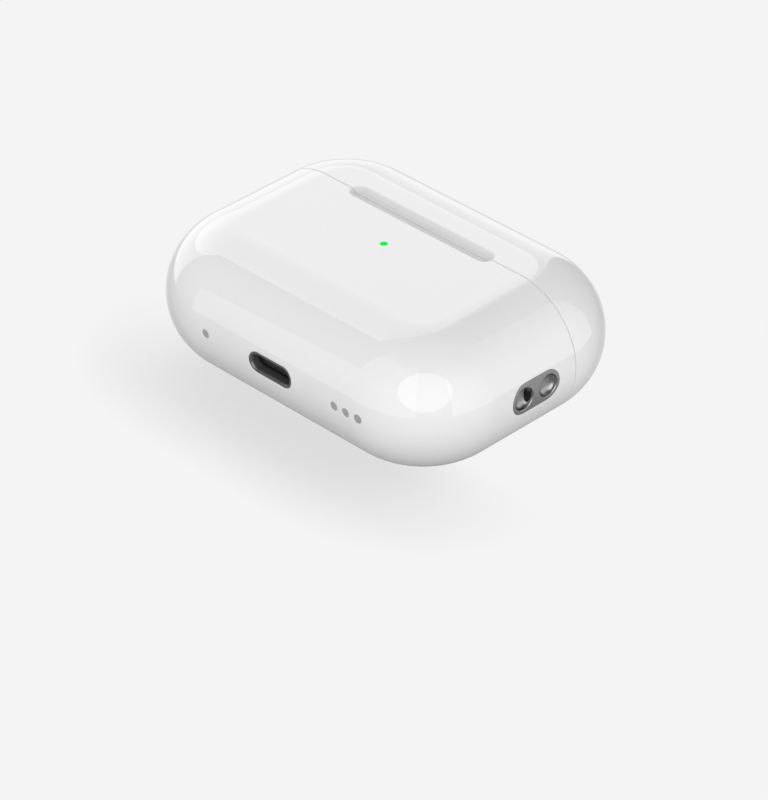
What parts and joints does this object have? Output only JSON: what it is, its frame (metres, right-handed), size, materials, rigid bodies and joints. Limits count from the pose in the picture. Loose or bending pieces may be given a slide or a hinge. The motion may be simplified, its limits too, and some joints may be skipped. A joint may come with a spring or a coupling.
{
  "type": "wireless earbuds charging case",
  "caption": "Pocket charging case for stemmed wireless earbuds: glossy rounded shells, hinged lid, charging port, lanyard loop, status light and pairing button.",
  "frame": {"origin": "middle of the flat back face, which the case rests on", "axes": "+X towards the lanyard loop, +Y towards the lid's top, +Z out of the front face"},
  "size_m": [0.0606, 0.0452, 0.0217],
  "materials": {
    "shell_white": "polished, injection moulded",
    "cradle_white": "satin, injection moulded",
    "loop_steel": "satin",
    "port_steel": "dark satin",
    "hinge_steel": "polished",
    "bare_steel": "plain",
    "screw_steel": "plain",
    "magnet_nickel": "nickel plated",
    "contact_gold": "gold plated",
    "coil_copper": "enamelled copper",
    "ferrite": "matte",
    "board_green": "solder mask",
    "chip_black": "matte",
    "flex_amber": "polyimide film",
    "cell_wrap": "foil pouch",
    "foam_black": "closed-cell foam",
    "gasket_black": "silicone",
    "port_plastic": "matte",
    "speaker_frame": "matte",
    "mesh_grey": "woven acoustic mesh",
    "led_lens": "lit green",
    "led_body": "clear"
  },
  "bodies": {
    "base": {"base_shell": "shell_white", "inner_cradle": "cradle_white", "lanyard_loop": "loop_steel", "lanyard_backplate": "bare_steel", "port_collar": "port_steel", "port_gasket": "gasket_black", "port_socket": "port_plastic", "port_contacts": "contact_gold", "battery_cell": "cell_wrap", "battery_foam": "foam_black", "battery_cable": "flex_amber", "logic_board": "board_green", "board_chips": "chip_black", "shield_can": "bare_steel", "board_screws": "screw_steel", "charging_coil": "coil_copper", "ferrite_sheet": "ferrite", "alignment_magnets": "magnet_nickel", "charge_pins": "contact_gold", "charge_flex": "flex_amber", "bud_magnets": "magnet_nickel", "base_closure_magnet": "magnet_nickel", "hall_sensor": "chip_black", "speaker_module": "speaker_frame", "speaker_gasket": "gasket_black", "speaker_mesh": "mesh_grey", "vent_mesh": "mesh_grey", "status_led": "led_body", "light_pipe": "led_lens", "button_switch": "bare_steel", "button_flex": "flex_amber", "hinge_base_leaf": "hinge_steel", "hinge_pin": "bare_steel", "hinge_washers": "bare_steel", "base_hinge_screws": "screw_steel"},
    "lid": {"lid_shell": "shell_white", "lid_liner": "cradle_white", "hinge_lid_leaf": "hinge_steel", "lid_hinge_screws": "screw_steel", "lid_closure_magnet": "magnet_nickel", "lid_sensor_magnet": "magnet_nickel"},
    "button": {"pairing_button": "shell_white"}
  },
  "joints": [
    {"name": "lid_hinge", "type": "hinge", "parent": "base", "child": "lid", "pos_m": [0, 0.0076, 0.0013], "axis": [-1, 0, 0], "range_deg": [0, 105], "stiffness_Nm_per_rad": 0.12},
    {"name": "button_press", "type": "slide", "parent": "base", "child": "button", "axis": [0, 0, 1], "range_m": [0, 0.0003], "stiffness_N_per_m": 800}
  ]
}
